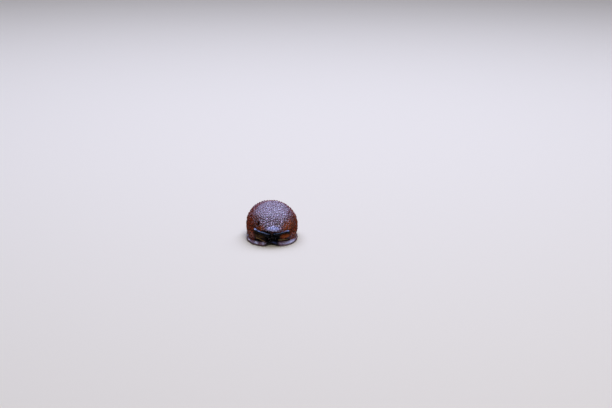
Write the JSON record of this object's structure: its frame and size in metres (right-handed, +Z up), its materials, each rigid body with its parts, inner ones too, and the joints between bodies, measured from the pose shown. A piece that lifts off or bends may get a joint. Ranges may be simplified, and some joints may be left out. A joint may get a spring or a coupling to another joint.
{
  "type": "garden slug model",
  "caption": "Life-size still model of a large garden slug drawn up into a dome, with mantle, tubercled back, frilled foot and drawn-in tentacles; it rests on its flat sole.",
  "frame": {"origin": "on the floor under the middle of the foot, at the centre of the bounding box's base", "axes": "the head faces -Y, the tail is towards +Y, the slug's left is +X, and +Z is up"},
  "size_m": [0.03, 0.0421, 0.0209],
  "materials": {
    "foot_skin": "wet, mauve brown, finely cross-lined margin and a pale smooth sole",
    "back_skin": "wet, red-brown, long keeled tubercles",
    "mantle_skin": "wet, red-brown, fine even granules under clear slime",
    "head_skin": "wet, blackish slate",
    "neck_skin": "wet, glossy dark brown"
  },
  "bodies": {
    "root": {"foot": "foot_skin", "torso": "back_skin", "tail": "back_skin", "mantle": "mantle_skin", "head": "head_skin", "neck_left": "neck_skin", "neck_right": "neck_skin", "upper_tentacle_left": "head_skin", "upper_tentacle_right": "head_skin", "lower_tentacle_left": "head_skin", "lower_tentacle_right": "head_skin"}
  },
  "joints": []
}
